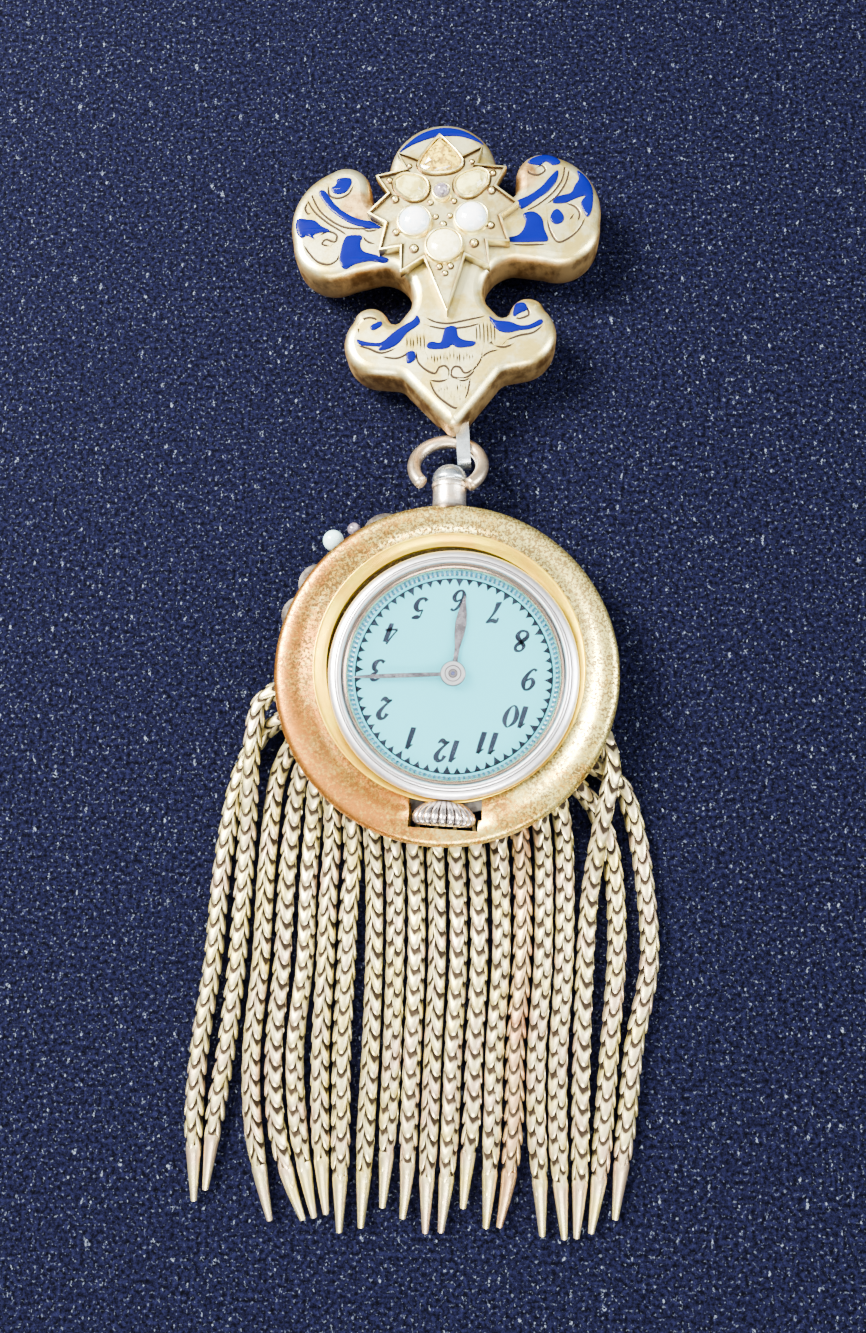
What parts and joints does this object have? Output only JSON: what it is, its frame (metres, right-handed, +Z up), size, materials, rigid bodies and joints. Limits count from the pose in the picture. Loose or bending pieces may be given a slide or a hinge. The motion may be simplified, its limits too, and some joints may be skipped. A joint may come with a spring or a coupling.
{
  "type": "chatelaine watch pin",
  "caption": "Fleur-de-lis enamelled brooch pin with a jewelled star, from which a round fob with a small watch and a fringe of fine chains hangs on a bow.",
  "frame": {"origin": "middle of the bounding box, on the surface that the pin lies on", "axes": "+Z up with the dial facing up, +Y towards the brooch, -Y towards the fringe, +X to the right"},
  "size_m": [0.0406, 0.0992, 0.0075],
  "materials": {
    "brooch_gold": "worn gold-filled brass with brown patina on the side walls",
    "fob_gold": "worn gold-filled plate, copper showing at the left",
    "chain_gold": "pale straw gold, woven wire",
    "bow_gold": "brownish worn gold",
    "pale_steel": "pale blue-grey worn metal",
    "case_silver": "bright silver, stepped and polished",
    "rehaut_copper": "ribbed copper ring",
    "watch_glass": "clear low dome",
    "dial_enamel": "pale ice-blue enamel",
    "hand_steel": "dark blued steel",
    "cobalt_enamel": "glossy cobalt enamel with chipped edges",
    "milky_stone": "milky, slightly blue centre",
    "cream_stone": "cream, polished",
    "pale_glass": "pale translucent cut glass",
    "foiled_glass": "yellow foiled cut glass",
    "pearl": "pearl lustre"
  },
  "bodies": {
    "root": {"brooch_shell": "brooch_gold", "brooch_back": "brooch_gold", "brooch_pin": "brooch_gold", "enamel_crest": "cobalt_enamel", "enamel_wing_left": "cobalt_enamel", "enamel_wing_right": "cobalt_enamel", "enamel_scroll_left": "cobalt_enamel", "enamel_scroll_right": "cobalt_enamel", "enamel_centre": "cobalt_enamel", "star_setting": "brooch_gold", "stone_white_left": "milky_stone", "stone_white_right": "milky_stone", "stone_cream": "cream_stone", "stone_pear_left": "pale_glass", "stone_pear_right": "pale_glass", "stone_crest": "foiled_glass", "star_pearl": "pearl", "bail": "pale_steel", "bail_pin": "pale_steel", "bow": "bow_gold", "neck_cap": "pale_steel", "fob_plate": "fob_gold", "fob_front": "fob_gold", "front_pearl": "pearl", "front_bead": "pearl", "watch_case": "case_silver", "watch_bezel": "case_silver", "rehaut": "rehaut_copper", "watch_glass": "watch_glass", "dial": "dial_enamel", "chain_01": "chain_gold", "chain_02": "chain_gold", "chain_03": "chain_gold", "chain_04": "chain_gold", "chain_05": "chain_gold", "chain_06": "chain_gold", "chain_07": "chain_gold", "chain_08": "chain_gold", "chain_09": "chain_gold", "chain_10": "chain_gold", "chain_11": "chain_gold", "chain_12": "chain_gold", "chain_13": "chain_gold", "chain_14": "chain_gold", "chain_15": "chain_gold", "chain_16": "chain_gold", "chain_17": "chain_gold", "chain_18": "chain_gold", "chain_19": "chain_gold", "chain_20": "chain_gold"},
    "minute_hand": {"minute_hand": "hand_steel"},
    "hour_hand": {"hour_hand": "hand_steel"},
    "crown": {"crown": "bow_gold"}
  },
  "joints": [
    {"name": "minute_hand_turn", "type": "hinge", "parent": "root", "child": "minute_hand", "pos_m": [0.003, -0.00295, 0.0046], "axis": [0, 0, 1], "continuous": true},
    {"name": "hour_hand_turn", "type": "hinge", "parent": "root", "child": "hour_hand", "pos_m": [0.003, -0.00295, 0.0046], "axis": [0, 0, 1], "continuous": true},
    {"name": "crown_turn", "type": "hinge", "parent": "root", "child": "crown", "pos_m": [0.00218, -0.01472, 0.00435], "axis": [-0.0698, -0.9976, 0], "continuous": true}
  ],
  "couplings": [
    {"joint": "hour_hand_turn", "follows": "minute_hand_turn", "ratio": 0.083333}
  ]
}
